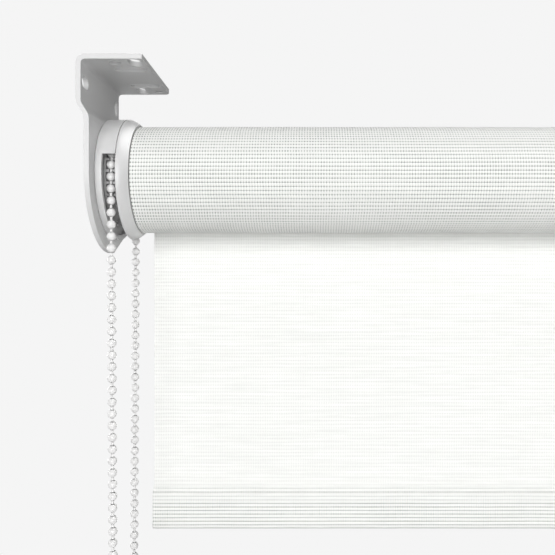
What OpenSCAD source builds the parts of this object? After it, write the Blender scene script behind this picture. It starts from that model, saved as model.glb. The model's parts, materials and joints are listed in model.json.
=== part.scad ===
// Roller blind: two steel brackets, a bead-chain clutch, a sprung idle end, a wound fabric
// roll with a weighted hem, and a chain tensioner. Millimetres. +X runs along the roller
// away from the chain, +Y points away from the room and +Z is up. The origin is the middle
// of the four ceiling slots, on top of the brackets' flanges.

/* [Blind] */
// Width over the outer faces of the two brackets
overall_w = 600; // [400:10:1800]
// Fabric that hangs below the roller's axis, hem band included
hang_len = 199; // [120:1:230]
// Thickness of the fabric
fabric_t = 0.55; // [0.3:0.05:0.8]

/* [Bracket] */
// Thickness of the steel sheet
sheet_t = 2.5; // [2.2:0.1:3]
// Depth from front edge to rear edge
bracket_depth = 63.4; // [60:0.2:66]
// Reach of the ceiling flange
flange_len = 32; // [31:1:40]
// Radius of the flange's rear free corner
corner_r = 3; // [1:0.5:6]
// Radius of the flange's front free corner
front_corner_r = 1; // [0.5:0.5:6]
// Drop from the ceiling to the roller's axis
axis_drop = 55.5; // [52:0.5:70]
// Distance of the roller's axis behind the middle of the bracket
axis_back = 7.5; // [4:0.5:9]
// Inside radius of the bend between flange and side plate
bend_r = 2; // [1:0.5:3]
// Sideways step of the side plate towards the roller
joggle = 4; // [3:0.1:4]
// Height of the step's upper end above the axis
joggle_top = 33.9; // [32.4:0.1:36]
// Height that the step takes up
joggle_h = 9.4; // [6:0.1:10]
// Distance behind the axis where the plate's round lower edge ends
round_end = 2; // [0:1:6]
// Height of the plate's lower rear corner below the axis
rear_corner = 28.2; // [20:0.1:30]

/* [Fixing holes] */
// End-to-end length of the ceiling slots
slot_len = 16; // [12:1:18]
// Width of the ceiling slots
slot_w = 6; // [4.5:0.5:6]
// Front-to-back spacing of the slots
slot_pitch = 29; // [24:1:32]
// Distance of the slots' middle from the bracket's outer face
slot_inset = 22; // [20:1:22]
// Front-to-back spacing of the flange's outer holes
hole_pitch = 50; // [48:1:51]
// Diameter of the front round hole
round_hole_d = 6; // [4:0.5:6]
// Diameter of the rear round hole
pilot_hole_d = 4.5; // [3.5:0.5:5]
// Distance of the near-side holes from the outer face
near_hole_inset = 17; // [15:0.5:18]
// Distance of the far-side holes from the outer face
far_hole_inset = 27; // [26.5:0.5:27]
// Front-to-back length of the flange's adjusting holes
long_hole_len = 11; // [8:0.5:11]
// Width of the front adjusting hole
front_long_w = 6.4; // [5:0.1:7]
// Width of the rear adjusting hole
rear_long_w = 5; // [4.5:0.1:6]
// Length and width of the side plate's level slot at the front
side_level_slot = [9.4, 6]; // [4:0.1:10]
// Length and width of the side plate's upright slot at the rear
side_upright_slot = [8.2, 5.2]; // [4:0.1:10]
// Distance of the level slot before the bracket's middle
side_front_y = 24.9; // [22:0.1:26]
// Distance of the upright slot behind the bracket's middle
side_rear_y = 26.6; // [22:0.1:27]
// Drop from the ceiling to the side plate's slots
side_hole_drop = 12; // [10:0.5:14]

/* [Roller] */
// Outside diameter of the tube
tube_d = 45; // [43:1:46]
// Wall of the tube
tube_wall = 1.5; // [1.2:0.1:1.8]
// Diameter over the wound fabric
roll_d = 56.6; // [50:0.1:57]
// Distance from the bracket's outer face to the fabric at the chain's end
drive_inset = 22.8; // [22.8:0.1:24]
// Distance from the bracket's outer face to the fabric at the idle end
idle_inset = 14.2; // [14.2:0.1:16]

/* [Clutch] */
// Diameter of the cover and of the rims beside the fabric
cover_d = 64; // [62:1:66]
// Width of the cover
cover_w = 10; // [9.9:0.1:10.7]
// Wall of the cover
cover_wall = 2.5; // [2:0.1:2.8]
// Height of the chain window's upper edge above the axis
window_top = 9; // [5:1:12]
// Width of the closed band between the side plate and the window
window_band = 3.6; // [3.6:0.1:4]
// Diameter of the fixed spindle
spindle_d = 19; // [18:0.5:19]

/* [Chain] */
// Diameter of a bead
bead_d = 4.5; // [4:0.1:4.5]
// Distance from bead to bead
bead_pitch = 6; // [6:0.1:6.2]
// Pockets round the chain wheel
wheel_pockets = 25; // [24:1:25]
// Pockets round the tensioner's pulley
pulley_pockets = 20; // [18:1:20]
// Beads in the loop
loop_beads = 110; // [90:2:180]

/* [Hem] */
// Height of the hem band
hem_h = 25; // [22:1:30]
// Thickness of the hem over its bar
hem_t = 4.6; // [4:0.1:5]
// Height of the bar in the hem
bar_h = 20.8; // [14:0.1:21]

// How far the hem stands out past the wound fabric at the chain's end
hem_overhang = 1.2; // [0:0.1:2]

/* [Tensioner] */
// Radius of the tensioner's case
case_r = 27; // [26:0.5:28]
// Height of the case above its pulley's axis
case_top = 18; // [16:1:22]
// Spacing of the two fixing screws
screw_pitch = 64; // [62:1:70]
// Diameter of the fixing holes
screw_hole_d = 4.4; // [3.5:0.1:5]

/* [Hidden] */
$fn = 96;
eps = 0.01;
run_gap = 0.06;                         // radial gap of a running fit
axis_y = axis_back;
axis_z = -axis_drop;
half_w = overall_w / 2;
plate_r = bracket_depth / 2 + axis_back;  // the plate's front edge is tangent to its round end
plate_x = half_w - joggle - sheet_t;      // inner face of the side plate's lower part
step_z = axis_z + joggle_top;
step_parts = 10;

cover_r = cover_d / 2;
seam_gap = 0.3;
base_t = 1.7;
shoulder_t = 0.5;
shoulder_r = 14;
socket_w = 4.5;
rim_flat = 0.9;                           // the rim's straight part, beside the cover
rim_low_r = 29;                           // the rim's radius beside the fabric
edge_round = 1;

fabric_x0 = -half_w + drive_inset;
fabric_x1 = half_w - idle_inset;
tube_r = tube_d / 2;
tube_ri = tube_r - tube_wall;
rib_w = 3;
rib_h = 1.4;
plug_r = tube_ri - 0.1;
roll_r = roll_d / 2;
hang_y = roll_r + 0.3;                    // front face of the hanging fabric, from the axis

rim_x = -plate_x + cover_w + seam_gap;    // drive hub's rim starts here
rim_end = fabric_x0 - 0.3;
hub_end = rim_end + 43;
idle_rim_x = fabric_x1 + 0.2;
idle_rim_end = plate_x - socket_w - seam_gap;
idle_plug_x = idle_rim_x - 40;

spindle_r = spindle_d / 2;
spindle_end = hub_end + 2.5;
clip_x = hub_end + 0.2;
clip_t = 1;
wall_x = hub_end - 4.6;                   // the hub's end wall starts here
wire_r = 0.75;
spring_turns = 6;
spring_len = spring_turns * 1.9 * wire_r;
boss_ri = 11.9;
boss_ro = 13.2;
hub_ri = 13.5;

bead_r = bead_d / 2;
wheel_r = wheel_pockets * bead_pitch / (2 * PI);
pulley_r = pulley_pockets * bead_pitch / (2 * PI);
wheel_w = 7.4;
chain_x = -plate_x + window_band + bead_r + 0.15;
loop_len = loop_beads * bead_pitch;
open_len = (loop_len - PI * (wheel_r + pulley_r)) / 2;
drop = open_len - pow(wheel_r - pulley_r, 2) / (2 * open_len);  // wheel axis to pulley axis
lean = asin((wheel_r - pulley_r) / drop);
leg_len = drop * cos(lean);
wheel_arc = wheel_r * (180 + 2 * lean) * PI / 180;
pulley_arc = pulley_r * (180 - 2 * lean) * PI / 180;
turn_reach = 12;                          // beads lie in pockets up to this far from an axis
link_r = 0.7;
pulley_z = axis_z - drop;

pin_r = 4;
pin_collar_r = 7.2;
pin_room_r = 7.6;
pin_wall = 9;
pin_tip_x = half_w - joggle - 0.4;
pin_back_x = idle_plug_x - 10;
collar_x = idle_rim_end - pin_wall - 0.2;
collar_w = 2.8;
cap_w = 4;
pin_spring_r = 5.6;
pin_spring_wire = 0.5;

screw_r = 1.6;
head_r = 3.3;
head_h = 1.8;
clutch_screw_y = 7;
socket_screw_y = 11;

hem_y = hang_y + fabric_t / 2;            // middle of the hem, from the axis
hem_z = axis_z - hang_len;                // lower edge of the hem
hem_x0 = fabric_x0 - hem_overhang;
cap_plate = 0.6;
cap_plug = 2;

back_t = 2.5;
case_wall = 2;
case_x1 = chain_x + wheel_w / 2 + 0.3;    // inner face of the case's front
case_front = 1.8;
tab_r = 7;
leg_room = 7;                             // width of the openings for the chain's legs
axle_r = 2.5;

// ---- helpers ----

// Children stand on the roller's axis at x: their z runs along +X and their x points down.
module on_axis(x) {
    translate([x, axis_y, axis_z]) rotate([0, 90, 0]) children();
}

// The same on the tensioner pulley's axis.
module on_pulley_axis(x) {
    translate([x, axis_y, pulley_z]) rotate([0, 90, 0]) children();
}

// Extrudes a (y, z) outline from x0 to x1.
module along_x(x0, x1) {
    translate([x0, 0, 0]) rotate([90, 0, 90]) linear_extrude(x1 - x0) children();
}

module ring(r_in, r_out, w) {
    difference() {
        cylinder(h = w, r = r_out);
        translate([0, 0, -1]) cylinder(h = w + 2, r = r_in);
    }
}

// A disc whose near edge is rounded.
module rounded_disc(r, w, edge) {
    rotate_extrude() {
        square([r - edge, w]);
        translate([0, edge]) square([r, w - edge]);
        translate([r - edge, edge]) intersection() {
            circle(edge);
            translate([0, -edge]) square(edge);
        }
    }
}

// An upright stadium, centred on y = 0 and standing on z = 0.
module stadium(h, t) {
    translate([-t / 2, t / 2]) square([t, h - t]);
    translate([0, t / 2]) circle(t / 2);
    translate([0, h - t / 2]) circle(t / 2);
}

// A slot along x, centred on the origin.
module slot_outline(length, w) {
    square([length - w, w], center = true);
    for (side = [-1, 1]) translate([side * (length - w) / 2, 0]) circle(w / 2);
}

// Countersunk screw or its hole, with the head's top at z = 0 and the shank along +z.
module screw_shape(length, extra) {
    cylinder(h = head_h, r1 = head_r + extra, r2 = screw_r + extra);
    cylinder(h = length, r = screw_r + extra);
}

module screws(length, spread) {
    for (side = [-1, 1]) translate([0, side * spread, 0]) difference() {
        screw_shape(length, 0);
        for (turn = [0, 90]) rotate([0, 0, turn]) cube([4, 0.8, 2], center = true);
    }
}

module screw_holes(length, spread) {
    for (side = [-1, 1]) translate([0, side * spread, 0]) screw_shape(length, 0.05);
}

// ---- brackets ----

// Sideways offset of the side plate at share t of the step's height.
function step_offset(t) = joggle * (1 - cos(180 * t)) / 2;

// Section of the bent sheet, as (distance inward from the outer face, height).
module sheet_section() {
    bend = bend_r + sheet_t;
    step = [for (i = [0 : step_parts]) i / step_parts];
    translate([bend, -sheet_t]) square([flange_len - bend, sheet_t]);
    translate([bend, -bend]) intersection() {
        difference() {
            circle(bend);
            circle(bend_r);
        }
        translate([-bend, 0]) square(bend);
    }
    translate([0, step_z]) square([sheet_t, -bend - step_z]);
    polygon(concat(
        [for (t = step) [step_offset(t), step_z - t * joggle_h]],
        [for (t = step) [sheet_t + step_offset(1 - t), step_z - (1 - t) * joggle_h]]
    ));
    translate([joggle, axis_z - plate_r])
        square([sheet_t, plate_r + joggle_top - joggle_h]);
}

module plate_outline() {
    rear = bracket_depth / 2 - axis_y;
    translate([-bracket_depth / 2, axis_z]) square([bracket_depth, axis_drop]);
    translate([axis_y, axis_z]) {
        intersection() {
            circle(plate_r);
            translate([-plate_r, -plate_r]) square([plate_r + round_end, plate_r]);
        }
        polygon([
            [round_end, 0], [round_end, -sqrt(plate_r * plate_r - round_end * round_end)],
            [rear, -rear_corner], [rear, 0]
        ]);
    }
}

module flange_corner(side, r) {
    translate([flange_len - r, side * (bracket_depth / 2 - r)]) circle(r);
}

module flange_outline() {
    hull() {
        translate([0, -bracket_depth / 2]) square([1, bracket_depth]);
        flange_corner(-1, front_corner_r);
        flange_corner(1, corner_r);
    }
}

// The flange's holes: two slots across it, and four holes near its corners.
module flange_holes() {
    for (side = [-1, 1]) translate([slot_inset, side * slot_pitch / 2])
        slot_outline(slot_len, slot_w);
    translate([near_hole_inset, -hole_pitch / 2]) circle(round_hole_d / 2);
    translate([far_hole_inset, -hole_pitch / 2]) rotate(90)
        slot_outline(long_hole_len, front_long_w);
    translate([near_hole_inset + 1, hole_pitch / 2 - 0.8]) rotate(90)
        slot_outline(long_hole_len, rear_long_w);
    translate([far_hole_inset, hole_pitch / 2 + 1]) circle(pilot_hole_d / 2);
}

// The side plate's slots, drawn with x up and y towards the rear.
module side_slots() {
    translate([-side_hole_drop, -side_front_y]) rotate(90)
        slot_outline(side_level_slot[0], side_level_slot[1]);
    translate([-side_hole_drop, side_rear_y])
        slot_outline(side_upright_slot[0], side_upright_slot[1]);
}

// One bracket with its outer face at x = 0 and its flange towards +x.
module bracket(screw_y, pin_hole_r) {
    difference() {
        intersection() {
            translate([0, bracket_depth / 2, 0])
                rotate([90, 0, 0]) linear_extrude(bracket_depth) sheet_section();
            along_x(-1, flange_len + 1) plate_outline();
            translate([0, 0, axis_z - plate_r - 1])
                linear_extrude(plate_r + axis_drop + 2) flange_outline();
        }
        translate([0, 0, -sheet_t - 1]) linear_extrude(sheet_t + 2) flange_holes();
        translate([sheet_t + 1, 0, 0]) rotate([0, -90, 0]) linear_extrude(sheet_t + 2) side_slots();
        translate([joggle, axis_y, axis_z]) rotate([0, 90, 0]) {
            screw_holes(sheet_t + 1, screw_y);
            if (pin_hole_r > 0)
                translate([0, 0, -1]) cylinder(h = sheet_t + 2, r = pin_hole_r);
        }
    }
}

module control_bracket() {
    color("white") translate([-half_w, 0, 0]) bracket(clutch_screw_y, 0);
}

module idle_bracket() {
    color("white") translate([half_w, 0, 0]) mirror([1, 0, 0])
        bracket(socket_screw_y, pin_r + 0.5);
}

// ---- clutch ----

module clutch_cover() {
    color("gainsboro") difference() {
        on_axis(-plate_x) difference() {
            rounded_disc(cover_r, cover_w, edge_round);
            translate([0, 0, base_t]) cylinder(h = cover_w, r = cover_r - cover_wall);
            translate([0, 0, -1]) cylinder(h = base_t + 2, r = shoulder_r - 3);
        }
        translate([-plate_x + window_band, axis_y - cover_r - 1, axis_z - cover_r - 1])
            cube([cover_w, cover_d + 2, cover_r + window_top + 1]);
    }
}

module clutch_core() {
    color("dimgray") on_axis(-plate_x) difference() {
        union() {
            cylinder(h = base_t, r = shoulder_r - 3.05);
            translate([0, 0, base_t]) cylinder(h = shoulder_t, r = shoulder_r);
            cylinder(h = spindle_end + plate_x, r = spindle_r);
        }
        translate([0, 0, 20]) cylinder(h = spindle_end + plate_x, r = spindle_r - 3);
        translate([0, 0, clip_x - 0.05 + plate_x]) ring(spindle_r - 1, spindle_r + 1, clip_t + 0.1);
        for (side = [-1, 1]) translate([0, side * clutch_screw_y, -1])
            cylinder(h = 13, r = screw_r + 0.05);
    }
}

module core_clip() {
    color("silver") on_axis(clip_x) difference() {
        ring(spindle_r - 0.95, spindle_r + 2.5, clip_t);
        translate([0, -5, -1]) cube([spindle_d, 10, clip_t + 2]);
    }
}

module clutch_screws() {
    color("silver") on_axis(-plate_x - sheet_t) screws(sheet_t + 10, clutch_screw_y);
}

// A wheel with a pocket for each bead, flanges beside them and a groove for the links.
module pocket_wheel(pitch_r, pockets, w, bore_r, first) {
    pocket_w = bead_d + 0.5;
    difference() {
        ring(bore_r, pitch_r + 0.7, w);
        translate([0, 0, w / 2 - 0.9]) ring(pitch_r - 1.3, pitch_r + 2, 1.8);
        for (k = [0 : pockets - 1]) rotate([0, 0, first + (k + 0.5) * 360 / pockets])
            translate([pitch_r, 0, (w - pocket_w) / 2]) cylinder(h = pocket_w, r = bead_r + 0.25);
    }
}

module chain_wheel() {
    boss_len = 3 * spring_len + 6;
    color("darkgray") {
        on_axis(chain_x - wheel_w / 2)
            pocket_wheel(wheel_r, wheel_pockets, wheel_w, spindle_r + run_gap, 180);
        on_axis(chain_x + wheel_w / 2) difference() {
            ring(boss_ri, boss_ro, boss_len);
            translate([0, -8, -1]) cube([boss_ro + 1, 16, boss_len + 2]);
        }
    }
}

module wrap_springs() {
    inner = spindle_r + run_gap;
    pitch = spring_len / spring_turns;
    color("dimgray") for (n = [0 : 2]) on_axis(rim_x + 1 + n * (spring_len + 1)) {
        rotate_extrude() for (turn = [0 : spring_turns - 1])
            translate([inner + wire_r, wire_r + turn * pitch]) circle(wire_r);
        for (end = [-1, 1]) translate([0, end * 4.5, end > 0 ? wire_r : spring_len - pitch + wire_r])
            rotate([0, 90, 0]) translate([0, 0, inner]) cylinder(h = 3, r = wire_r * 0.9);
    }
}

// The rim beside the fabric: straight, then sloping down in a shallow curve to its far end.
module rim(w) {
    slope = [for (i = [0 : 8]) i / 8];
    rotate_extrude() polygon(concat(
        [[0, w], [0, 0], [cover_r, 0]],
        [for (t = slope)
            [cover_r - (cover_r - rim_low_r) * pow(t, 1.4), rim_flat + (w - rim_flat) * t]]
    ));
}

module rib_grooves(length) {
    for (turn = [45 : 90 : 315]) rotate([0, 0, turn])
        translate([plug_r - rib_h - 0.1, -rib_w / 2 - 0.1, 0])
            cube([rib_h + 2, rib_w + 0.2, length]);
}

module drive_hub() {
    body_len = hub_end - rim_end;
    color("gainsboro") on_axis(rim_x) {
        difference() {
            union() {
                rim(rim_end - rim_x);
                cylinder(h = hub_end - rim_x, r = plug_r);
            }
            translate([0, 0, -1]) cylinder(h = wall_x - rim_x + 1, r = hub_ri);
            cylinder(h = hub_end - rim_x + 1, r = spindle_r + run_gap);
            translate([0, 0, rim_end - rim_x]) rib_grooves(body_len + 1);
        }
        translate([12.2, -2.5, 2]) cube([hub_ri - 11.7, 5, wall_x - rim_x - 2]);
    }
}

// ---- roller ----

module roller_tube() {
    length = idle_rim_x - rim_end;
    color("silver") on_axis(rim_end) {
        ring(tube_ri, tube_r, length);
        for (turn = [45 : 90 : 315]) rotate([0, 0, turn])
            translate([tube_ri - rib_h, -rib_w / 2, 0]) cube([rib_h + 0.5, rib_w, length]);
    }
}

module tape_shape(extra) {
    on_axis(fabric_x0 + 4 - extra) intersection() {
        ring(tube_r, tube_r + 0.2 + extra, fabric_x1 - fabric_x0 - 8 + 2 * extra);
        translate([-9 - extra, 0, 0])
            cube([18 + 2 * extra, roll_d, fabric_x1 - fabric_x0]);
    }
}

module fixing_tape() {
    color("khaki") tape_shape(0);
}

module fabric_roll() {
    color("ivory") difference() {
        on_axis(fabric_x0) ring(tube_r, roll_r, fabric_x1 - fabric_x0);
        tape_shape(0.05);
    }
}

// ---- idle end ----

module idle_plug() {
    length = idle_rim_end - idle_plug_x;
    body_len = idle_rim_x - idle_plug_x;
    color("gainsboro") difference() {
        union() {
            on_axis(idle_rim_end) mirror([0, 0, 1]) rim(idle_rim_end - idle_rim_x);
            on_axis(idle_plug_x) cylinder(h = body_len, r = plug_r);
        }
        on_axis(idle_plug_x) {
            translate([0, 0, -1]) cylinder(h = length - pin_wall + 1, r = pin_room_r);
            cylinder(h = length + 1, r = pin_r + run_gap);
            translate([0, 0, -1]) ring(pin_room_r + 2.4, plug_r - 3, body_len - 2);
            translate([0, 0, -1]) rib_grooves(body_len + 1);
        }
    }
}

module plug_cap() {
    color("dimgray") on_axis(idle_plug_x) ring(pin_r + run_gap, pin_room_r, cap_w);
}

module idle_pin() {
    tip = 1;
    color("silver") {
        on_axis(pin_back_x) cylinder(h = pin_tip_x - tip - pin_back_x, r = pin_r);
        on_axis(pin_tip_x - tip) cylinder(h = tip, r1 = pin_r, r2 = pin_r - tip);
        on_axis(collar_x - collar_w) cylinder(h = collar_w, r = pin_collar_r);
    }
}

// Sweeps a round wire along a helix round z, as a closed tube.
module helix(length, r, wire, turns) {
    sides = 8;
    per_turn = 20;
    count = turns * per_turn;
    climb = atan2(length / turns, 2 * PI * r);
    points = [
        for (i = [0 : count], j = [0 : sides - 1])
            let (a = 360 * i / per_turn, b = 360 * j / sides, out = r + wire * cos(b))
            [
                out * cos(a) + wire * sin(b) * sin(climb) * sin(a),
                out * sin(a) - wire * sin(b) * sin(climb) * cos(a),
                length * i / count + wire * sin(b) * cos(climb)
            ]
    ];
    skin = [
        for (i = [0 : count - 1], j = [0 : sides - 1])
            let (k = (j + 1) % sides, a = i * sides, b = a + sides)
            each [[a + j, a + k, b + k], [a + j, b + k, b + j]]
    ];
    first = [[for (j = [sides - 1 : -1 : 0]) j]];
    last = [[for (j = [0 : sides - 1]) count * sides + j]];
    polyhedron(points, concat(skin, first, last));
}

module pin_spring() {
    room = collar_x - collar_w - idle_plug_x - cap_w;
    end_gap = pin_spring_wire + 0.1;
    color("dimgray") on_axis(idle_plug_x + cap_w + end_gap)
        helix(room - 2 * end_gap, pin_spring_r, pin_spring_wire, 9);
}

module idle_socket() {
    color("gainsboro") on_axis(plate_x) mirror([0, 0, 1]) difference() {
        rounded_disc(cover_r, socket_w, edge_round);
        translate([0, 0, -1]) cylinder(h = socket_w + 2, r = pin_r + run_gap);
        for (side = [-1, 1]) translate([0, side * socket_screw_y, -1])
            cylinder(h = socket_w, r = screw_r + 0.05);
    }
}

module socket_screws() {
    color("silver") on_axis(plate_x + sheet_t) mirror([0, 0, 1])
        screws(sheet_t + socket_w - 1.5, socket_screw_y);
}

// ---- fabric and hem ----

module fabric_panel() {
    panel_h = hang_len - hem_h - 0.3;
    color("ivory") translate([fabric_x0, axis_y + hang_y, axis_z - panel_h])
        cube([fabric_x1 - fabric_x0, fabric_t, panel_h]);
}

// Places a (y, z) outline at the hem's middle and lower edge.
module hem_outline(lift) {
    translate([axis_y + hem_y, hem_z + lift]) children();
}

module hem_pocket() {
    color("ivory") difference() {
        along_x(hem_x0, fabric_x1) hem_outline(0) stadium(hem_h, hem_t);
        along_x(hem_x0 - 1, fabric_x1 + 1)
            hem_outline(fabric_t) stadium(bar_h + 0.1, hem_t - 2 * fabric_t);
    }
}

module bottom_bar() {
    color("silver") along_x(hem_x0 + cap_plug, fabric_x1 - cap_plug)
        hem_outline(fabric_t + 0.05) stadium(bar_h, hem_t - 2 * fabric_t - 0.1);
}

module bar_cap(x, inward) {
    near = min(x, x + inward * cap_plug);
    far = min(x, x - inward * cap_plate);
    along_x(near, near + cap_plug)
        hem_outline(fabric_t + 0.05) stadium(bar_h, hem_t - 2 * fabric_t - 0.1);
    along_x(far, far + cap_plate) hem_outline(0.3) stadium(bar_h + 1, hem_t - 0.6);
}

module bar_caps() {
    color("white") {
        bar_cap(hem_x0, 1);
        bar_cap(fabric_x1, -1);
    }
}

// ---- bead chain ----

// A point of the loop as [y, z] from the roller's axis, s along the chain from the top of
// the front leg: down the front, round the pulley, up the back and over the wheel.
function loop_point(s) =
    let (
        low = s - leg_len,
        back = low - pulley_arc,
        top = back - leg_len
    )
    s < leg_len ? leg_point(s, -1)
    : low < pulley_arc
    ? let (a = lean + 180 / PI * low / pulley_r)
        [-pulley_r * cos(a), -drop - pulley_r * sin(a)]
    : back < leg_len ? leg_point(leg_len - back, 1)
    : let (a = 180 / PI * top / wheel_r - lean) [wheel_r * cos(a), wheel_r * sin(a)];

// A point of a straight leg, d below its upper end; side is -1 at the front.
function leg_point(d, side) =
    [side * (wheel_r * cos(lean) - d * sin(lean)), -wheel_r * sin(lean) - d * cos(lean)];

// Centre of bead k; the top of the wheel lies halfway between two beads.
function bead_point(k) =
    let (s = (k + 0.5) * bead_pitch - wheel_arc / 2)
    loop_point(s < 0 ? s + loop_len : s >= loop_len ? s - loop_len : s);

function in_turn(k) =
    let (z = bead_point(k)[1])
    z > -turn_reach || z < turn_reach - drop;

// A round bar between two [y, z] points in the chain's plane.
module chain_rod(from, to, r_in, r_out) {
    d = to - from;
    translate([chain_x, axis_y + from[0], axis_z + from[1]])
        rotate([atan2(-d[0], d[1]), 0, 0]) {
            if (r_in > 0) ring(r_in, r_out, norm(d));
            else cylinder(h = norm(d), r = r_out);
        }
}

// The legs are plain tubes of the beads' diameter; the beads in the pockets are separate balls.
module bead_chain() {
    color("white") {
        for (side = [-1, 1])
            chain_rod(leg_point(turn_reach, side), leg_point(leg_len - turn_reach, side), 0, bead_r);
        for (k = [0 : loop_beads - 1]) {
            if (in_turn(k))
                translate([chain_x, axis_y + bead_point(k)[0], axis_z + bead_point(k)[1]])
                    sphere(bead_r);
            if (in_turn(k) || in_turn((k + 1) % loop_beads))
                chain_rod(bead_point(k), bead_point((k + 1) % loop_beads), 0, link_r);
        }
    }
}

module chain_connector() {
    middle = 226;
    half_len = 6;
    color("white")
        chain_rod(leg_point(middle - half_len, 1), leg_point(middle + half_len, 1), bead_r + 0.05, 3.3);
}

// ---- tensioner ----

module case_outline(r) {
    translate([axis_y, pulley_z]) {
        circle(r);
        translate([-r, 0]) square([2 * r, case_top]);
    }
}

module tensioner_plate() {
    color("gainsboro") difference() {
        along_x(-half_w, -half_w + back_t) {
            case_outline(case_r);
            translate([axis_y, pulley_z]) for (side = [-1, 1]) {
                translate([0, side * screw_pitch / 2]) circle(tab_r);
                translate([-tab_r, side > 0 ? 0 : -screw_pitch / 2])
                    square([2 * tab_r, screw_pitch / 2]);
            }
        }
        on_pulley_axis(-half_w - 1) {
            cylinder(h = back_t + 2, r = axle_r + 0.02);
            for (side = [-1, 1]) translate([side * screw_pitch / 2, 0, 0])
                cylinder(h = back_t + 2, r = screw_hole_d / 2);
        }
    }
}

module tensioner_cover() {
    color("gainsboro") difference() {
        along_x(-half_w + back_t, case_x1 + case_front) case_outline(case_r);
        along_x(-half_w + back_t - 1, case_x1) {
            case_outline(case_r - case_wall);
            for (side = [-1, 1])
                translate([axis_y + side * (pulley_r + 0.4) - leg_room / 2, pulley_z])
                    square([leg_room, case_r + 1]);
            translate([axis_y - case_r + case_wall, pulley_z])
                square([2 * (case_r - case_wall), case_top + 1]);
        }
        on_pulley_axis(case_x1 - 1) cylinder(h = case_front + 2, r = axle_r + 0.02);
    }
}

module tensioner_axle() {
    color("silver") {
        on_pulley_axis(-half_w) cylinder(h = case_x1 + case_front + half_w, r = axle_r);
        on_pulley_axis(case_x1 + case_front) cylinder(h = 1.2, r1 = 4, r2 = 3.4);
    }
}

module tensioner_pulley() {
    color("darkgray") on_pulley_axis(chain_x - wheel_w / 2)
        pocket_wheel(pulley_r, pulley_pockets, wheel_w, axle_r + run_gap, 0);
}

control_bracket();
idle_bracket();
clutch_cover();
clutch_core();
core_clip();
clutch_screws();
idle_socket();
socket_screws();
chain_wheel();
wrap_springs();
drive_hub();
roller_tube();
fixing_tape();
fabric_roll();
idle_plug();
plug_cap();
idle_pin();
pin_spring();
fabric_panel();
hem_pocket();
bottom_bar();
bar_caps();
bead_chain();
chain_connector();
tensioner_plate();
tensioner_cover();
tensioner_axle();
tensioner_pulley();
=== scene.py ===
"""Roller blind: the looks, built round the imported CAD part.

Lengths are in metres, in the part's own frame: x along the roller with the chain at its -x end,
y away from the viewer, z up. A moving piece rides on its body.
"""

import json
import math

import bmesh
import bpy
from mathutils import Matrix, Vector

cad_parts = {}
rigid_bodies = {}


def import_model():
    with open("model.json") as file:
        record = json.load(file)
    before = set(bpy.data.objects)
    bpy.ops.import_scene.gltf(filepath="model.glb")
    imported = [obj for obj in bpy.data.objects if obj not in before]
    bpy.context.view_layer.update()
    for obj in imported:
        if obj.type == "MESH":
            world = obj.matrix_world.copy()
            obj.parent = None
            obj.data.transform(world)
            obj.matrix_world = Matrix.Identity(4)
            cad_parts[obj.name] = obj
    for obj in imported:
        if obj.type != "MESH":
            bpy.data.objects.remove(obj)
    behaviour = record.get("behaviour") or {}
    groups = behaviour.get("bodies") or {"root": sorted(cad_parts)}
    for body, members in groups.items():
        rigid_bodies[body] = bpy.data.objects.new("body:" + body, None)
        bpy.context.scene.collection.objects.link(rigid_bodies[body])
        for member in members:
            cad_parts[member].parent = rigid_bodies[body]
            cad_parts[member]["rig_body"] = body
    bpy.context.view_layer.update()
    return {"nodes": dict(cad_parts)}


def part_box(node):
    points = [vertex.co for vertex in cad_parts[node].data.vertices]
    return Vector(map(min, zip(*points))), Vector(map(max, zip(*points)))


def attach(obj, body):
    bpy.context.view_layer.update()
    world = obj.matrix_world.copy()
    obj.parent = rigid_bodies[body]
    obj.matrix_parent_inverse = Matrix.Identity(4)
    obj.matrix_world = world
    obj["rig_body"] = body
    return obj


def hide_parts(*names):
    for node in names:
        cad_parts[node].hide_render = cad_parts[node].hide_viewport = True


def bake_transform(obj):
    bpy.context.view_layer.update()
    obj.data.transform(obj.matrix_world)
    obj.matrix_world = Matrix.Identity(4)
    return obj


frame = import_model()
nodes = frame["nodes"]
scene = bpy.context.scene
MM = 0.001


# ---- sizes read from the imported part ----

tube_lo, tube_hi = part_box("roller_tube")
AXIS = (tube_lo + tube_hi) / 2
roll_lo, roll_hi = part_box("fabric_roll")
ROLL_R = (roll_hi.z - roll_lo.z) / 2
TUBE_R = (tube_hi.z - tube_lo.z) / 2
panel_lo, panel_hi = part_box("fabric_panel")
hem_lo, hem_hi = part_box("hem_pocket")
chain_lo, chain_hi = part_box("bead_chain")


# ---- camera: level and square to the roller, as its straight verticals show ----

camera = bpy.data.objects.new("camera", bpy.data.cameras.new("camera"))
scene.collection.objects.link(camera)
camera.location = (-0.18698, -0.34784, -0.10673)
camera.rotation_euler = (math.pi / 2, 0, 0)
camera.data.sensor_width = 36
camera.data.lens = 42.65
camera.data.shift_x = -0.0591
camera.data.shift_y = -0.0039
camera.data.clip_start = 0.01
camera.data.clip_end = 50
scene.camera = camera


# ---- helpers ----


def new_object(name, mesh):
    obj = bpy.data.objects.new(name, mesh)
    scene.collection.objects.link(obj)
    return obj


def mesh_object(name, points, faces, smooth_angle=35):
    mesh = bpy.data.meshes.new(name)
    mesh.from_pydata([tuple(p) for p in points], [], [tuple(f) for f in faces])
    mesh.update()
    bm = bmesh.new()
    bm.from_mesh(mesh)
    bmesh.ops.recalc_face_normals(bm, faces=bm.faces)
    bm.to_mesh(mesh)
    bm.free()
    mesh.shade_smooth()
    mesh.set_sharp_from_angle(angle=math.radians(smooth_angle))
    return new_object(name, mesh)


def finish_piece(obj, body, slot, material, *replaced):
    """Give a piece its material and body, and hide the CAD nodes it stands for."""
    obj.data.materials.clear()
    obj.data.materials.append(material)
    if body:
        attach(obj, body)
    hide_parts(*replaced)
    return obj


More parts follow.
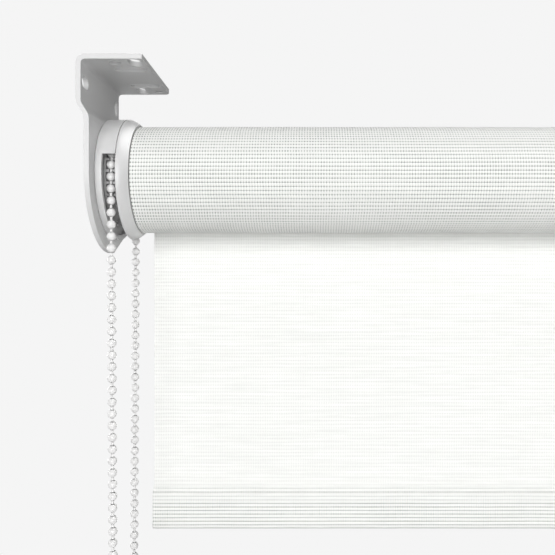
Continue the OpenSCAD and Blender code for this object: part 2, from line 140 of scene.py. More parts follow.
def refined(node, name, width, limit=28, segments=3):
    """A copy of a CAD node, rounded by width at edges that turn more than limit degrees."""
    mesh = nodes[node].data.copy()
    bm = bmesh.new()
    bm.from_mesh(mesh)
    # weld the tessellation and join its coplanar triangles before the bevel
    bmesh.ops.remove_doubles(bm, verts=bm.verts, dist=2e-6)
    bmesh.ops.dissolve_limit(
        bm, angle_limit=math.radians(0.3), verts=bm.verts, edges=bm.edges
    )
    sharp = [
        e
        for e in bm.edges
        if len(e.link_faces) == 2 and e.calc_face_angle(0) > math.radians(limit)
    ]
    bmesh.ops.bevel(
        bm,
        geom=sharp,
        offset=width,
        offset_type="OFFSET",
        segments=segments,
        profile=0.5,
        affect="EDGES",
        clamp_overlap=True,
        harden_normals=False,
    )
    bmesh.ops.recalc_face_normals(bm, faces=bm.faces)
    bm.to_mesh(mesh)
    bm.free()
    mesh.shade_smooth()
    mesh.set_sharp_from_angle(angle=math.radians(limit))
    obj = new_object(name, mesh)
    weigh = obj.modifiers.new("weigh", "WEIGHTED_NORMAL")
    weigh.keep_sharp = True
    weigh.weight = 80
    depsgraph = bpy.context.evaluated_depsgraph_get()
    final = bpy.data.meshes.new_from_object(
        obj.evaluated_get(depsgraph), preserve_all_data_layers=True, depsgraph=depsgraph
    )
    obj.modifiers.clear()
    obj.data = final
    return obj


def turned(name, profile, origin, axis, steps=40):
    """A closed (along, radius) outline turned round an axis."""
    along = Vector(axis).normalized()
    side = along.orthogonal().normalized()
    up = along.cross(side)
    points, faces = [], []
    count = len(profile)
    for k in range(steps):
        a = 2 * math.pi * k / steps
        out = side * math.cos(a) + up * math.sin(a)
        points += [Vector(origin) + along * s + out * r for s, r in profile]
    for k in range(steps):
        for i in range(count):
            j, n = (i + 1) % count, (k + 1) % steps
            faces.append((k * count + i, k * count + j, n * count + j, n * count + i))
    return mesh_object(name, points, faces)


class Net:
    """A material's node tree, built from short calls."""

    def __init__(self, name, **values):
        self.material = bpy.data.materials.new(name)
        self.material.use_nodes = True
        self.tree = self.material.node_tree
        self.shader = self.tree.nodes["Principled BSDF"]
        for key, value in values.items():
            self.shader.inputs[key.replace("_", " ")].default_value = value
        self.place = self.node("ShaderNodeTexCoord").outputs["Object"]

    def node(self, kind, **props):
        made = self.tree.nodes.new(kind)
        for key, value in props.items():
            setattr(made, key, value)
        return made

    def put(self, socket, value):
        if isinstance(value, bpy.types.NodeSocket):
            self.tree.links.new(value, socket)
        else:
            socket.default_value = value

    def set(self, key, value):
        self.put(self.shader.inputs[key], value)

    def math(self, operation, a, b=0.5):
        made = self.node("ShaderNodeMath", operation=operation)
        self.put(made.inputs[0], a)
        self.put(made.inputs[1], b)
        return made.outputs[0]

    def scaled(self, scale):
        made = self.node("ShaderNodeVectorMath", operation="MULTIPLY")
        self.put(made.inputs[0], self.place)
        self.put(made.inputs[1], scale)
        return made.outputs[0]

    def noise(self, scale, detail=2.0, vector=None, rough=0.5):
        made = self.node("ShaderNodeTexNoise")
        self.put(made.inputs["Vector"], vector or self.place)
        made.inputs["Scale"].default_value = scale
        made.inputs["Detail"].default_value = detail
        made.inputs["Roughness"].default_value = rough
        return made.outputs["Fac"]

    def range(self, value, a, b, c, d, smooth=False):
        """Maps a..b onto c..d and holds the ends."""
        made = self.node("ShaderNodeMapRange")
        if smooth:
            made.interpolation_type = "SMOOTHSTEP"
        for socket, v in zip(made.inputs[:5], (value, a, b, c, d)):
            self.put(socket, v)
        return made.outputs[0]

    def mix(self, factor, a, b):
        made = self.node("ShaderNodeMix", data_type="RGBA")
        for socket, v in zip([made.inputs[0], *made.inputs[6:8]], (factor, a, b)):
            self.put(socket, v)
        return made.outputs[2]

    def bump(self, height, distance, strength, normal=None):
        made = self.node("ShaderNodeBump")
        made.inputs["Strength"].default_value = strength
        made.inputs["Distance"].default_value = distance
        self.put(made.inputs["Height"], height)
        if normal:
            self.put(made.inputs["Normal"], normal)
        return made.outputs[0]

    def split(self):
        made = self.node("ShaderNodeSeparateXYZ")
        self.put(made.inputs[0], self.place)
        return made.outputs


def grey(v, warm=0.0):
    """A grey, or with warm above 0 one that leans to yellow."""
    return (v * (1 + warm), v, v * (1 - warm), 1)


def tint(v, tone):
    """The cloth's white, a touch green."""
    return (v * tone * 0.993, v * tone, v * tone * 0.975, 1)


# ---- materials ----


def powder_coat():
    """White powder coat: orange peel, a slight cloudiness and fine flecks."""
    net = Net("powder_coat", IOR=1.5)
    cloud = net.noise(55, 3)
    fleck = net.noise(5200, 1)
    tone = net.mix(cloud, grey(0.61), grey(0.67))
    net.set("Base Color", net.mix(net.range(fleck, 0.64, 0.78, 0, 0.2), tone, grey(0.55)))
    net.set("Roughness", net.range(cloud, 0.3, 0.7, 0.33, 0.45))
    peel = net.bump(net.noise(900, 2), 0.00006, 0.55)
    net.set("Normal", net.bump(net.noise(3600, 2), 0.00002, 0.4, peel))
    return net.material


def moulded(
    name, tone, rough, grain=2600, warm=0.0, depth=0.000015, glow=0.0, reach=0.003, gloss=0.0
):
    """Moulded plastic: a fine spark-eroded grain, faint flow lines and a slight mottle.

    glow and reach are its subsurface weight and radius, gloss the weight of its coat.
    """
    net = Net(name)
    net.shader.inputs["Subsurface Weight"].default_value = glow
    net.shader.inputs["Subsurface Radius"].default_value = (reach, reach, reach)
    net.shader.inputs["Coat Weight"].default_value = gloss
    net.shader.inputs["Coat Roughness"].default_value = 0.45
    mottle = net.noise(90, 3)
    flow = net.noise(14, 2, net.scaled((1, 6, 6)))
    base = net.mix(mottle, grey(tone * 0.95, warm), grey(tone * 1.04, warm))
    lines = net.range(flow, 0.4, 0.7, 0, 0.3)
    net.set("Base Color", net.mix(lines, base, grey(tone * 0.93, warm)))
    net.set("Roughness", net.range(mottle, 0.3, 0.7, rough - 0.04, rough + 0.06))
    net.set("Normal", net.bump(net.noise(grain, 3), depth, 0.6))
    return net.material


def metal(name, tone, rough, lines, depth=0.000012):
    """Bare metal, drawn or brushed along the axis where lines is lowest, with faint stains."""
    net = Net(name, Metallic=1.0)
    streak = net.noise(1.0, 4, net.scaled(lines), 0.65)
    stain = net.noise(70, 3)
    base = net.mix(streak, grey(tone * 0.86), grey(tone * 1.1))
    net.set("Base Color", net.mix(net.range(stain, 0.55, 0.75, 0, 0.35), base, grey(tone * 0.8)))
    net.set("Roughness", net.range(streak, 0.3, 0.7, rough - 0.07, rough + 0.1))
    net.set("Normal", net.bump(streak, depth, 0.5))
    return net.material


# the weave, in metres
ROW_PITCH, HOLE_PITCH = 2.07 * MM, 1.38 * MM
ROW_SWAY = 0.3 * MM
GLOW_REACH = 1.5 * MM
RELIEF = 0.14 * MM
# in shares of a row's or a hole's pitch
ROW_SLIP = 0.16  # how far each row's holes are shifted sideways, at most
FRAY = 0.16  # how uneven a hole's edge is
HOLE_TALL, HOLE_WIDE = 0.2, 0.25  # from a hole's middle to its edge
RIB_EDGE = (0.3, 0.34)  # where a rib's outer picks end
WARP_SIDE = 0.2  # where the warp ends beside a hole begin
# and the rest
PICK_WAVE = 4.69 * math.pi  # puts three picks in a rib
SQUARENESS, ROOT = 3.4, 0.294  # a hole's outline: a square with rounded corners
# the holes' dark colour is painted shade, the dark seen through the open holes; it is weaker
# where no bar lies behind them
HOLE_SHADE = (0.06, 0.085, 0.068, 1)
ABOVE_BAR = 0.42  # the strength of the holes where no bar lies behind them


def blind_fabric(name, around=False, dots=1.0, glow=0.0, bar_top=None, tone=1.0):
    """Screen cloth: white ribs across the blind with a row of small open holes in each gap.

    dots is how strongly the holes' painted shade shows. bar_top is the pair of heights between
    which it weakens, at the top of the hem's bar.
    """
    net = Net(name, Roughness=0.78, IOR=1.45)
    if glow:
        net.shader.inputs["Subsurface Weight"].default_value = glow
        net.shader.inputs["Subsurface Radius"].default_value = (GLOW_REACH,) * 3
    x, y, z = net.split()
    if around:
        angle = net.math(
            "ARCTAN2", net.math("SUBTRACT", z, AXIS.z), net.math("SUBTRACT", y, AXIS.y)
        )
        down = net.math("MULTIPLY", angle, ROLL_R)
    else:
        down = z
    sway = net.math("MULTIPLY", net.noise(26, 2), ROW_SWAY)
    rows = net.math("DIVIDE", net.math("ADD", down, sway), ROW_PITCH)
    line = net.math("FLOOR", rows)
    in_row = net.math("SUBTRACT", net.math("FRACT", rows), 0.5)
    slip = net.node("ShaderNodeTexWhiteNoise", noise_dimensions="1D")
    net.put(slip.inputs["W"], line)
    shift = net.math("MULTIPLY", slip.outputs["Value"], ROW_SLIP)
    cols = net.math("ADD", net.math("DIVIDE", x, HOLE_PITCH), shift)
    cell = net.math("FLOOR", cols)
    in_col = net.math("SUBTRACT", net.math("FRACT", cols), 0.5)
    pair = net.node("ShaderNodeCombineXYZ")
    net.put(pair.inputs[0], cell)
    net.put(pair.inputs[1], line)
    chance = net.node("ShaderNodeTexWhiteNoise", noise_dimensions="2D")
    net.put(chance.inputs["Vector"], pair.outputs[0])
    ragged = net.noise(1.0, 2, net.scaled((2600, 2600, 2600)))
    fray = net.math("MULTIPLY", net.math("SUBTRACT", ragged, 0.5), FRAY)
    off_row = net.math("ABSOLUTE", in_row)
    off_col = net.math("ABSOLUTE", net.math("ADD", in_col, net.math("MULTIPLY", fray, 0.5)))
    tall = net.math("POWER", net.math("DIVIDE", off_row, HOLE_TALL), SQUARENESS)
    wide = net.math("POWER", net.math("DIVIDE", off_col, HOLE_WIDE), SQUARENESS)
    reach = net.math("POWER", net.math("ADD", tall, wide), ROOT)
    hole = net.range(net.math("ADD", reach, fray), 0.72, 1.1, 1, 0, True)
    strength = net.range(chance.outputs["Value"], 0, 1, 0.6, 1.0)
    patch = net.range(net.noise(1.0, 2, net.scaled((14, 60, 60))), 0.35, 0.65, 0.8, 1.05)
    hole = net.math("MULTIPLY", hole, net.math("MULTIPLY", strength, patch))
    if bar_top:
        hole = net.math("MULTIPLY", hole, net.range(z, *bar_top, 1, ABOVE_BAR, True))
    # plain weave: ribs of three picks, and two warp ends between the holes of a row, which pass
    # over and under the picks in turn
    rib = net.math("SUBTRACT", 0.5, off_row)
    pick = net.math("COSINE", net.math("MULTIPLY", rib, PICK_WAVE))
    pick = net.math("MULTIPLY", pick, net.range(rib, *RIB_EDGE, 1, 0))
    end = net.range(off_col, WARP_SIDE, 0.5, 0, math.pi)
    warp = net.math("SINE", end)
    side = net.math("SIGN", in_col)
    weft = net.math("ABSOLUTE", pick)
    crossing = net.math("MULTIPLY", pick, net.math("MULTIPLY", warp, side))
    over = net.range(crossing, -0.6, 0.6, 0, 1)
    yarn = net.math("ADD", weft, net.math("MULTIPLY", net.math("SUBTRACT", warp, weft), over))
    fibre = net.noise(1.0, 3, net.scaled((2200, 9000, 9000)))
    slub = net.noise(1.0, 2, net.scaled((45, 900, 900)))
    white = net.mix(net.range(slub, 0.35, 0.7, 0, 1), tint(0.88, tone), tint(0.945, tone))
    # painted shade: the white darkens where the yarns dip, in the gaps between them
    white = net.mix(net.range(yarn, 0, 0.55, 0.32, 0), white, tint(0.6, tone))
    # the holes are painted dark: painted shade seen through the open cloth
    net.set("Base Color", net.mix(net.math("MULTIPLY", hole, dots), white, HOLE_SHADE))
    relief = net.math("ADD", net.math("MULTIPLY", yarn, 0.8), net.math("MULTIPLY", fibre, 0.4))
    relief = net.math("ADD", relief, net.range(rib, 0, 0.3, 0.5, 0, True))
    relief = net.math("SUBTRACT", relief, hole)
    net.set("Normal", net.bump(relief, RELIEF, 0.7))
    return net.material


def sticky_tape():
    """Double-sided tape: honey-coloured adhesive with trapped air and creases."""
    net = Net("sticky_tape", Roughness=0.3, IOR=1.5)
    crease = net.noise(1.0, 3, net.scaled((60, 400, 400)))
    net.set("Base Color", net.mix(crease, (0.72, 0.6, 0.36, 1), (0.88, 0.8, 0.6, 1)))
    net.set("Normal", net.bump(crease, 0.00005, 0.5))
    return net.material


def floor_material():
    net = Net("studio_floor", Roughness=0.7)
    net.set("Base Color", net.mix(net.noise(3, 2), grey(0.86), grey(0.9)))
    return net.material


M = {
    "bracket_paint": powder_coat(),
    "housing_plastic": moulded("cover_plastic", 0.62, 0.42, glow=0.5, reach=0.012, gloss=0.6),
    # the core and wheel plastics are darkened as painted shade for the inside of the clutch
    # cover; the wheel's tone also serves the tensioner pulley
    "core_plastic": moulded("core_plastic", 0.1, 0.42),
    "wheel_plastic": moulded("wheel_plastic", 0.36, 0.36, grain=3400),
    "bead_plastic": moulded(
        "bead_plastic", 0.78, 0.3, grain=5000, warm=0.004, depth=0.000006, glow=1.0, reach=0.012
    ),
    "steel": metal("plated_steel", 0.62, 0.3, (1500, 1500, 1500)),
    "spring_steel": metal("spring_steel", 0.38, 0.34, (400, 2500, 2500)),
    "tube_aluminium": metal("tube_aluminium", 0.72, 0.36, (12, 3200, 3200)),
    "tape": sticky_tape(),
}
# the three copies of the one cloth differ by painted light: the hanging sheet is lightest and its
# holes show almost no painted shade, as if lit from behind; the hem is darker and the wound roll
# darkest, as painted shade
SHEET_FABRIC = blind_fabric("blind_fabric_hanging", dots=0.06, glow=0.6, tone=1.015)
BAR_TOP = (hem_lo.z + 15 * MM, hem_lo.z + 17 * MM)
HEM_FABRIC = blind_fabric("blind_fabric_hem", dots=1.0, glow=0.1, tone=0.97, bar_top=BAR_TOP)
ROLL_FABRIC = blind_fabric("blind_fabric_wound", around=True, dots=1.0, tone=0.93)


# ---- bead chain ----

BEAD_R, PITCH, BEADS = 2.25 * MM, 6 * MM, 110
WHEEL_POCKETS, PULLEY_POCKETS = 25, 20
WHEEL_R = WHEEL_POCKETS * PITCH / (2 * math.pi)
PULLEY_R = PULLEY_POCKETS * PITCH / (2 * math.pi)
# what two half circles leave for each leg, the drop between the centres, and the legs' lean
OPEN = (BEADS * PITCH - math.pi * (WHEEL_R + PULLEY_R)) / 2
DROP = OPEN - (WHEEL_R - PULLEY_R) ** 2 / (2 * OPEN)
LEAN = math.asin((WHEEL_R - PULLEY_R) / DROP)
LEG = DROP * math.cos(LEAN)
WHEEL_ARC = WHEEL_R * (math.pi + 2 * LEAN)
PULLEY_ARC = PULLEY_R * (math.pi - 2 * LEAN)
LOOP = BEADS * PITCH
CHAIN_X = (chain_lo.x + chain_hi.x) / 2
SEAM = 0.045 * MM  # how far a bead's seam stands proud, at 90 degrees
BEAD_TURNS = (0, 14, 28, 42, 56, 70, 82, 88, 90, 92, 98, 110, 124, 138, 152, 166)  # in degrees
LINK_SIDES = 12
ROUTE_STEPS = 132
CLASP_START, CLASP_MIDDLE, CLASP_END = 0.22, 0.226, 0.232  # down the rear leg


def leg_point(d, side):
    """A point d down a leg: side -1 is the front leg, 1 the rear one."""
    y = side * (WHEEL_R * math.cos(LEAN) - d * math.sin(LEAN))
    return Vector((CHAIN_X, AXIS.y + y, AXIS.z - WHEEL_R * math.sin(LEAN) - d * math.cos(LEAN)))


def loop_point(s):
    """A point s along the loop from the top of the front leg."""
    s %= LOOP
    low, back = s - LEG, s - LEG - PULLEY_ARC
    if s < LEG:
        return leg_point(s, -1)
    if low < PULLEY_ARC:
        a = LEAN + low / PULLEY_R
        y, z = AXIS.y - PULLEY_R * math.cos(a), AXIS.z - DROP - PULLEY_R * math.sin(a)
        return Vector((CHAIN_X, y, z))
    if back < LEG:
        return leg_point(LEG - back, 1)
    a = (back - LEG) / WHEEL_R - LEAN
    return Vector((CHAIN_X, AXIS.y + WHEEL_R * math.cos(a), AXIS.z + WHEEL_R * math.sin(a)))


def bead_chain():
    """Every bead with a seam round it, and a link from each to the next."""
    centres = [loop_point((k + 0.5) * PITCH - WHEEL_ARC / 2) for k in range(BEADS)]
    turns = [math.radians(a) for a in BEAD_TURNS]
    turns += [a + math.pi for a in turns]
    rings = [math.radians(a) for a in range(12, 180, 12)]
    points, faces = [], []
    for k, centre in enumerate(centres):
        ahead, behind = centres[(k + 1) % BEADS], centres[k - 1]
        t = (ahead - behind).normalized()
        n = Vector((1, 0, 0))
        b = t.cross(n)
        start = len(points)
        for ring in rings:
            for a in turns:
                seam = SEAM if abs(math.sin(a)) > 0.9999 else 0
                r = (BEAD_R + seam) * math.sin(ring)
                point = centre + n * r * math.cos(a) + b * r * math.sin(a)
                points.append(point - t * BEAD_R * math.cos(ring))
        count = len(turns)
        for i in range(len(rings) - 1):
            for j in range(count):
                a, c = start + i * count, (j + 1) % count
                faces.append((a + j, a + c, a + count + c, a + count + j))
        faces.append([start + j for j in range(count)][::-1])
        faces.append([start + (len(rings) - 1) * count + j for j in range(count)])
        # the link to the next bead, flared where it enters both: (along, radius) in mm
        d = ahead - centre
        gap = d.length
        t = d.normalized()
        b = t.cross(n)
        start = len(points)
        stops = [(1.9, 1.15), (2.15, 0.86), (2.45, 0.7), (gap / MM / 2, 0.64)]
        stops += [(gap / MM - s, r) for s, r in stops[-2::-1]]
        count = LINK_SIDES
        for s, r in stops:
            for j in range(count):
                a = 2 * math.pi * j / count
                points.append(centre + t * s * MM + (n * math.cos(a) + b * math.sin(a)) * r * MM)
        for i in range(len(stops) - 1):
            for j in range(count):
                a, c = start + i * count, (j + 1) % count
                faces.append((a + j, a + c, a + count + c, a + count + j))
    return mesh_object("bead_chain_beads", points, faces, 60)


chain = finish_piece(bead_chain(), "mounting", "bead_plastic", M["bead_plastic"], "bead_chain")
clasp_at = leg_point(CLASP_MIDDLE, 1)
clasp_along = leg_point(CLASP_START, 1) - leg_point(CLASP_END, 1)
clasp_line = [  # (along, radius) in mm: an open sleeve, necked in the middle
    (-6, 2.35), (-6, 2.75), (-5.8, 3.08), (-5.4, 3.22), (-1.3, 3.25), (-0.9, 3.0), (-0.7, 2.9),
    (0.7, 2.9), (0.9, 3.0), (1.3, 3.25), (5.4, 3.22), (5.8, 3.08), (6, 2.75), (6, 2.35),
]
clasp_profile = [(s * MM, r * MM) for s, r in clasp_line]
clasp = turned("chain_connector_sleeve", clasp_profile, clasp_at, clasp_along)
finish_piece(clasp, "mounting", "bead_plastic", M["bead_plastic"], "chain_connector")
route = [loop_point(s * LOOP / ROUTE_STEPS) for s in range(ROUTE_STEPS + 1)]
tuple(route[0])


# ---- rigid parts: node, piece, slot, width of the rounding in mm ----

for node, name, slot, width in (
    ("control_bracket", "control_bracket_coated", "bracket_paint", 0.3),
    ("idle_bracket", "idle_bracket_coated", "bracket_paint", 0.3),
    ("clutch_cover", "clutch_cover_moulded", "housing_plastic", 0.15),
    ("idle_socket", "idle_socket_moulded", "housing_plastic", 0.35),
    ("drive_hub", "drive_hub_moulded", "housing_plastic", 0.15),
    ("idle_plug", "idle_plug_moulded", "housing_plastic", 0.3),
    ("chain_wheel", "chain_wheel_moulded", "wheel_plastic", 0.15),
    ("tensioner_pulley", "tensioner_pulley_moulded", "wheel_plastic", 0.15),
    ("tensioner_plate", "tensioner_plate_moulded", "housing_plastic", 0.4),
    ("tensioner_cover", "tensioner_cover_moulded", "housing_plastic", 0.4),
    ("bar_caps", "bar_caps_moulded", "bead_plastic", 0.25),
):
    piece = refined(node, name, width * MM)
    finish_piece(piece, nodes[node]["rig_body"], slot, M[slot], node)


# ---- the idle pin's spring, which shortens as the pin is pressed in ----


def coil_spring(turns=11, wire=0.5 * MM, steps=40, sides=12):
    """A compression spring along x with one closed coil at each end."""
    lo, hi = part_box("pin_spring")
    coil_r = (hi.z - lo.z) / 2 - wire
    closed = 2.1 * wire
    open_pitch = (hi.x - lo.x - 2 * wire - 2 * closed) / (turns - 2)
    points, faces = [], []
    count = turns * steps
    for i in range(count + 1):
        turn = i / steps
        x = min(turn, 1) * closed + min(max(turn - 1, 0), turns - 2) * open_pitch
        x += max(turn - turns + 1, 0) * closed
        a = 2 * math.pi * turn
        out = Vector((0, math.cos(a), math.sin(a)))
        centre = Vector((lo.x + wire + x, AXIS.y, AXIS.z)) + out * coil_r
        for j in range(sides):
            b = 2 * math.pi * j / sides
            points.append(centre + (out * math.cos(b) + Vector((1, 0, 0)) * math.sin(b)) * wire)
    for i in range(count):
        a, b = i * sides, (i + 1) * sides
        for j in range(sides):
            k = (j + 1) % sides
            faces.append((a + j, a + k, b + k, b + j))
    faces.append(list(range(sides))[::-1])
    faces.append([count * sides + j for j in range(sides)])
    return mesh_object("pin_spring_coil", points, faces, 60)


spring = finish_piece(coil_spring(), None, "spring_steel", M["spring_steel"], "pin_spring")
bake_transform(spring)


# ---- fabric ----

CLOTH = 0.55 * MM
X0, X1 = roll_lo.x, roll_hi.x
LAP = math.radians(28)  # the hanging cloth lies on the roll from here down to the axis
SKIN = 0.03 * MM  # between the roll and the cloth that lies on it
EDGE_GROOVE, EDGE_STRAY, EDGE_INSET = 0.16 * MM, 0.07 * MM, 0.09 * MM  # layers at the roll's ends
WELD_GAP = 0.02 * MM  # between the hem's two plies where they meet above the bar


def wave(x):
    """The cloth's faint flutes across its width, in metres."""
    broad = 0.00022 * math.sin(x * 41 + 0.6) + 0.00015 * math.sin(x * 73 + 2.1)
    return broad + 0.00008 * math.sin(x * 131)


def eased(t):
    """0 to 1 with a level start and end."""
    return t * t * (3 - 2 * t)


def wound_roll():
    """The wound cloth: its face is very slightly uneven and its ends show every layer."""
    steps, columns = 144, 48
    layers = (ROLL_R - TUBE_R) / CLOTH
    inner = TUBE_R + 0.02 * MM
    points, faces, rows = [], [], []
    radial = int(round(layers * 4))

    def add_row(place):
        rows.append(len(points))
        for k in range(steps):
            points.append(place(2 * math.pi * k / steps))

    def end_row(i, side):
        r = inner + (ROLL_R - 0.12 * MM - inner) * i / radial

        def place(a):
            turn = (r - inner) / CLOTH - a / (2 * math.pi)
            groove = EDGE_GROOVE * abs(math.cos(math.pi * turn)) ** 3
            stray = EDGE_STRAY * math.sin(math.floor(turn) * 2.4)
            if side < 0:
                x = X0 + groove + stray + EDGE_INSET
            else:
                x = X1 - groove - stray - EDGE_INSET
            return Vector((x, AXIS.y + r * math.cos(a), AXIS.z + r * math.sin(a)))

        return place

    for i in range(radial + 1):
        add_row(end_row(i, -1))
    for c in range(columns + 1):
        t = c / columns
        x = X0 + 0.1 * MM + (X1 - X0 - 0.2 * MM) * t

        def place(a, x=x, t=t):
            uneven = 0.05 * MM * math.sin(x * 57 + 1.5 * math.sin(a))
            uneven += 0.03 * MM * math.sin(3 * a + x * 20)
            r = ROLL_R - 0.09 * MM + uneven
            return Vector((x, AXIS.y + r * math.cos(a), AXIS.z + r * math.sin(a)))

        add_row(place)
    for i in range(radial, -1, -1):
        add_row(end_row(i, 1))
    for a, b in zip(rows, rows[1:] + rows[:1]):
        for k in range(steps):
            n = (k + 1) % steps
            faces.append((a + k, a + n, b + n, b + k))
    return mesh_object("wound_fabric", points, faces, 40)


def hanging_sheet():
    """The cloth that leaves the roll at the back and hangs to the hem, as one thin closed sheet.

    Each row of line has an angle where the cloth lies on the roll, or a share t of the way down
    where it hangs, and then its thickness and how far the flutes show.
    """
    columns, hug, straight = 90, 10, 130
    bottom = hem_hi.z
    r = ROLL_R + SKIN
    line = []
    for i in range(hug):
        a = LAP * (1 - i / hug)
        thin = 0.12 + 0.88 * min(1, i / (hug * 0.7))
        line.append((a, None, thin * CLOTH, 0))
    for i in range(straight + 1):
        t = i / straight
        line.append((None, t, CLOTH, eased(min(1, t / 0.1) * min(1, (1 - t) / 0.1))))
    front, back = [], []
    for a, t, thick, fluted in line:
        for c in range(columns + 1):
            left = panel_lo.x
            if t is not None:
                # below the rim beside it the cloth is a little wider
                wide = min(1, max(0, ((AXIS.z - bottom) * t - 15.5 * MM) / (8 * MM)))
                left -= 0.9 * MM * wide * wide * (3 - 2 * wide)
            x = left + (panel_hi.x - left) * c / columns
            if t is None:
                base = Vector((x, AXIS.y + r * math.cos(a), AXIS.z + r * math.sin(a)))
                out = Vector((0, math.cos(a), math.sin(a)))
            else:
                lead = eased(min(1, t / 0.12))
                y = AXIS.y + ROLL_R + SKIN + (panel_lo.y - AXIS.y - ROLL_R - SKIN) * lead
                base = Vector((x, y + wave(x) * fluted * 0.9, AXIS.z + (bottom - AXIS.z) * t))
                out = Vector((0, 1, 0))
            front.append(base)
            back.append(base + out * thick)
    width, count = columns + 1, len(line)
    points = front + back
    size = len(front)
    faces = []
    for i in range(count - 1):
        for c in range(columns):
            a = i * width + c
            faces.append((a, a + 1, a + width + 1, a + width))
            faces.append((size + a, size + a + width, size + a + width + 1, size + a + 1))
        for c in (0, columns):
            a = i * width + c
            faces.append((a, a + width, size + a + width, size + a))
    for i in (0, count - 1):
        for c in range(columns):
            a = i * width + c
            faces.append((a, a + 1, size + a + 1, size + a))
    return mesh_object("hanging_fabric", points, faces, 50)


def hem_band():
    """The folded hem: a pocket round the bar, then two plies welded flat below the sheet."""
    middle = (hem_lo.y + hem_hi.y) / 2
    half = (hem_hi.y - hem_lo.y) / 2
    height = hem_hi.z - hem_lo.z
    bar_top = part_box("bottom_bar")[1].z - hem_lo.z
    room = half - CLOTH
    centre_low, centre_high = half, bar_top + 0.05 * MM - room

    def outline(r, weld):
        """(across, up) from the bottom to where the two sides come within weld of the middle."""
        side = []
        for i in range(13):
            a = -math.pi / 2 + math.pi / 2 * i / 12
            side.append((r * math.cos(a), centre_low + r * math.sin(a)))
        for i in range(1, 8):
            side.append((r, centre_low + (centre_high - centre_low) * i / 8))
        last = math.acos(min(1, weld / r))
        for i in range(9):
            a = last * i / 8
            side.append((r * math.cos(a), centre_high + r * math.sin(a)))
        return side

    outer = outline(half, CLOTH * 1.02)
    rise = outer[-1][1]
    pressed = (
        (1.0, 0.08), (0.94, 0.16), (0.9, 0.3), (0.9, 0.62),
        (0.97, 0.72), (1.03, 0.8), (1.03, 0.94), (0.95, 1.0),
    )
    outer += [(CLOTH * w, rise + (height - rise) * t) for w, t in pressed]
    inner = outline(room, WELD_GAP)
    loop_out = [(-w, h) for w, h in outer] + [(w, h) for w, h in outer[:0:-1]]
    loop_in = [(-w, h) for w, h in inner] + [(w, h) for w, h in inner[:0:-1]]
    columns = 70
    x0, x1 = hem_lo.x, hem_hi.x
    points, faces = [], []
    n_out, n_in = len(loop_out), len(loop_in)
    for c in range(columns + 1):
        x = x0 + (x1 - x0) * c / columns
        pull = 0.06 * MM * math.sin(x * 88 + 0.4) + 0.04 * MM * math.sin(x * 190)
        for w, h in loop_out:
            firm = 1 if centre_low < h < centre_high else 0.4
            inward = abs(pull) * firm * (1 if w > 0 else -1)
            points.append(Vector((x, middle + w - inward, hem_lo.z + h)))
        for w, h in loop_in:
            points.append(Vector((x, middle + w, hem_lo.z + h)))
    step = n_out + n_in
    for c in range(columns):
        a, b = c * step, (c + 1) * step
        for i in range(n_out):
            j = (i + 1) % n_out
            faces.append((a + i, a + j, b + j, b + i))
        for i in range(n_in):
            j = (i + 1) % n_in
            faces.append((a + n_out + j, a + n_out + i, b + n_out + i, b + n_out + j))
    obj = mesh_object("hem_band", points, faces, 50)
    bm = bmesh.new()
    bm.from_mesh(obj.data)
    edges = [e for e in bm.edges if e.is_boundary]
    for side in (x0, x1):
        ring = [e for e in edges if all(abs(v.co.x - side) < 1e-6 for v in e.verts)]
        bmesh.ops.triangle_fill(bm, edges=ring, use_beauty=True)
    bmesh.ops.recalc_face_normals(bm, faces=bm.faces)
    bm.to_mesh(obj.data)
    bm.free()
    return obj


finish_piece(wound_roll(), "roller", "blind_fabric", ROLL_FABRIC, "fabric_roll")
hem = finish_piece(hem_band(), "hem", "blind_fabric", HEM_FABRIC, "hem_pocket")
sheet = finish_piece(hanging_sheet(), None, "blind_fabric", SHEET_FABRIC, "fabric_panel")
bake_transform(sheet)


# ---- CAD nodes that keep their shape ----

for names, slot in (
    (("clutch_core", "plug_cap"), "core_plastic"),
    (("clutch_screws", "socket_screws", "idle_pin", "tensioner_axle"), "steel"),
    (("wrap_springs", "core_clip"), "spring_steel"),
    (("roller_tube", "bottom_bar"), "tube_aluminium"),
    (("fixing_tape",), "tape"),
):
    for name in names:
        nodes[name].data.materials.clear()
        nodes[name].data.materials.append(M[slot])


# ---- studio ----

FLOOR_Z = -1.72  # below the hem at its lowest
BACKDROP, AMBIENT = 0.913, 0.152  # the world as the camera sees it, and as it lights the object

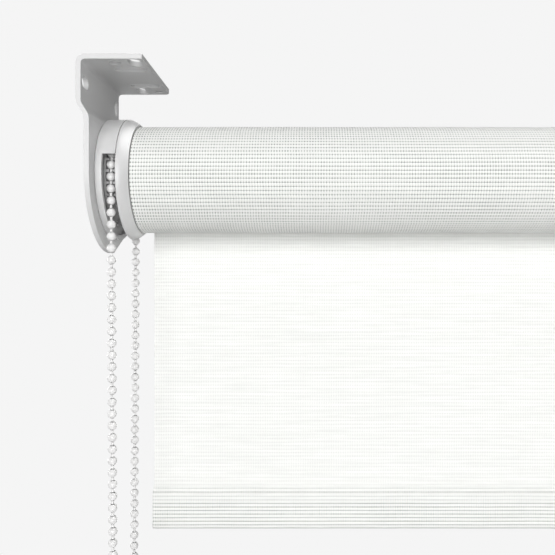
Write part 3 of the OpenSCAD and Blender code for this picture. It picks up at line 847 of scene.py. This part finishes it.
bpy.ops.mesh.primitive_grid_add(
    x_subdivisions=4, y_subdivisions=4, size=4, location=(0, 0, FLOOR_Z)
)
floor = bpy.context.object
floor.name = "studio_floor"
floor.data.materials.append(floor_material())


def area_light(name, place, size, power, target=(-0.1, 0, -0.12)):
    """A rectangular lamp of so many watts that faces its target and isn't itself seen."""
    lamp = bpy.data.lights.new(name, "AREA")
    lamp.shape = "RECTANGLE"
    lamp.size, lamp.size_y = size
    lamp.energy = power
    obj = bpy.data.objects.new(name, lamp)
    obj.location = place
    obj.rotation_euler = (Vector(target) - Vector(place)).to_track_quat("-Z", "Z").to_euler()
    scene.collection.objects.link(obj)
    obj.visible_camera = False
    return obj


area_light("front", (-0.05, -2.1, 0.05), (2.2, 1.1), 50)
area_light("top", (-0.3, -0.5, 1.6), (1.8, 1.4), 4)
area_light("rear", (-1.3, 2.2, 0.4), (2.4, 1.8), 30)
# weak ones for the two ends, which the others hardly reach
area_light("left", (-1.0, 0.05, -0.08), (0.3, 0.3), 1.8, (-0.3, 0, -0.1))
area_light("right", (1.0, 0, AXIS.z), (0.2, 0.2), 1.1, (0.3, 0, AXIS.z))
# only reflections of this one show: the soft gloss along the tops
shine = area_light("shine", (0.5, 0.1, 1.5), (2.4, 2.2), 110)
shine.visible_diffuse = False

world = bpy.data.worlds.new("studio")
scene.world = world
world.use_nodes = True
tree = world.node_tree
seen = tree.nodes["Background"]
seen.inputs["Color"].default_value = grey(BACKDROP)
lit = tree.nodes.new("ShaderNodeBackground")
lit.inputs["Color"].default_value = grey(AMBIENT)
rays = tree.nodes.new("ShaderNodeLightPath")
blend = tree.nodes.new("ShaderNodeMixShader")
tree.links.new(rays.outputs["Is Camera Ray"], blend.inputs[0])
tree.links.new(lit.outputs[0], blend.inputs[1])
tree.links.new(seen.outputs[0], blend.inputs[2])
tree.links.new(blend.outputs[0], tree.nodes["World Output"].inputs["Surface"])
scene.view_settings.view_transform = "Standard"
scene.view_settings.look = "None"
scene.view_settings.exposure = 0
scene.view_settings.gamma = 1
